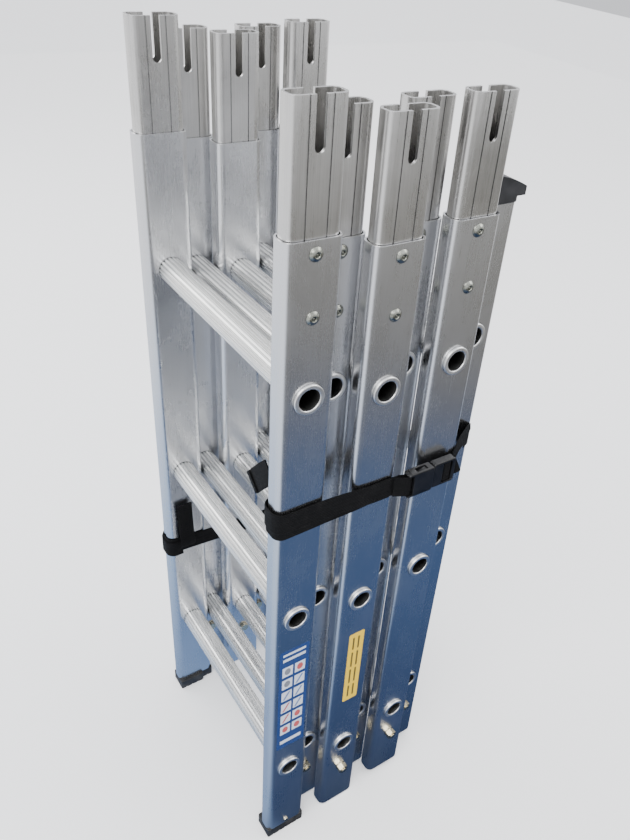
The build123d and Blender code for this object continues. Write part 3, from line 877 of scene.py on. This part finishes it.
make_strap("right", 1, RIGHT_RUN, lambda p: RIGHT_Z - RIGHT_INNER_DROP * (p[1] < 0))
make_strap("left", -1, LEFT_RUN, lambda p: LEFT_Z + level(LEFT_INNER_RISE, p[1]))
second_layer("right", 1, RIGHT_SECOND, (INNER_RIGHT - 0.006, FRONT + 0.009))
second_layer("left", -1, LEFT_SECOND, (INNER_LEFT - 0.0012, FRONT + 0.018))
right_tail()
left_tail()

# ---------------------------------------------------------------- rivets

# (radius, height over the stile) in mm, from the mandrel's end down the dome and shank to the blind bulb
RIVET_PROFILE = [
    (0, 2.35), (0.9, 2.4), (1.25, 2.2), (1.35, 1.7), (1.75, 1.65), (2.05, 2.1), (2.15, 2.75), (2.55, 3.15),
    (3.2, 3.18), (4.1, 2.85), (5.0, 2.2), (5.8, 1.35), (6.25, 0.95), (6.65, 0.7), (6.7, 0.35), (6.6, 0.02),
    (3.1, 0.02), (3.1, -5.1), (4.3, -5.2), (4.5, -6.2), (4.3, -7.6), (3.0, -8.2), (0, -8.3),
]
RIVET_SEGMENTS = 40
RIVET_HEAD = 0.0067
RIVET_SPINS = (0.3, 1.1)
RIVET_CREASE = 55


def turned(profile, segments):
    """A closed turned shape about local Z, as verts and faces, from (radius, height) pairs."""
    verts, faces, starts = [], [], []
    for r, h in profile:
        starts.append(len(verts))
        if r == 0:
            verts.append((0, 0, h))
        else:
            angles = [2 * math.pi * i / segments for i in range(segments)]
            verts += [(r * math.cos(a), r * math.sin(a), h) for a in angles]
    for (ra, _), (rb, _), a, b in zip(profile, profile[1:], starts, starts[1:]):
        for i in range(segments):
            j = (i + 1) % segments
            if ra == 0:
                faces.append((a, b + i, b + j))
            elif rb == 0:
                faces.append((a + i, b, a + j))
            else:
                faces.append((a + i, b + i, b + j, a + j))
    return verts, faces


def make_rivets(k):
    node = f"section_{k}_rivets"
    lo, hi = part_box(node)
    verts, faces = [], []
    base, base_faces = turned([(r / 1000, h / 1000) for r, h in RIVET_PROFILE], RIVET_SEGMENTS)
    for _, side in SIDES:
        face_x = side * max(side * STILES[k, side][0].x, side * STILES[k, side][1].x)
        y = (lo.y + hi.y) / 2
        for z, spin in zip((lo.z + RIVET_HEAD, hi.z - RIVET_HEAD), RIVET_SPINS):
            turn = Matrix.Rotation(side * math.pi / 2, 4, "Y") @ Matrix.Rotation(spin + k, 4, "Z")
            start = len(verts)
            verts += [Vector((face_x, y, z)) + turn @ Vector(v) for v in base]
            faces += [tuple(start + i for i in f) for f in base_faces]
    obj = mesh_object(f"{node}_heads", verts, faces, RIVET_METAL, BODY_OF[node])
    face_outwards(obj)
    smooth(obj, RIVET_CREASE)
    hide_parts(node)


for k in SPIGOT_SECTIONS:
    make_rivets(k)

# ---------------------------------------------------------------- labels

STICKER_CORNER = 0.0025
CORNER_STEPS = 5
STICKER_THICK = 0.00012
STICKER_GAP = 0.00002


def sticker(name, material, x, y0, y1, z0, z1, body):
    """A thin sticker on a +X face, with rounded corners. The attribute "print" runs from 0 to 1."""
    outline = []
    for cy, cz, start in ((y1, z1, 0), (y0, z1, 90), (y0, z0, 180), (y1, z0, 270)):
        oy = cy - math.copysign(STICKER_CORNER, cy - (y0 + y1) / 2)
        oz = cz - math.copysign(STICKER_CORNER, cz - (z0 + z1) / 2)
        for i in range(CORNER_STEPS + 1):
            a = math.radians(start + 90 / CORNER_STEPS * i)
            outline.append((oy + STICKER_CORNER * math.cos(a), oz + STICKER_CORNER * math.sin(a)))
    verts = [(x + STICKER_THICK, y, z) for y, z in outline] + [(x + STICKER_GAP, y, z) for y, z in outline]
    n = len(outline)
    faces = [tuple(range(n))] + [(i, n + i, n + (i + 1) % n, (i + 1) % n) for i in range(n)]
    obj = mesh_object(name, verts, faces, material, body)
    store(obj, "print", [((y - y0) / (y1 - y0), (z - z0) / (z1 - z0), 0) for _, y, z in verts])


first, third = STILES[1, 1], STILES[3, 1]
sticker(
    "panel_sticker", pictogram_label(), first[1].x, FRONT + 0.0085, FRONT + 0.0495, TOP_RUNG - 0.549,
    TOP_RUNG - 0.351, "bundle",
)
sticker(
    "yellow_sticker", lined_label(), third[1].x, third[0].y + 0.019, third[0].y + 0.042, TOP_RUNG - 0.517,
    TOP_RUNG - 0.380, "section_3",
)
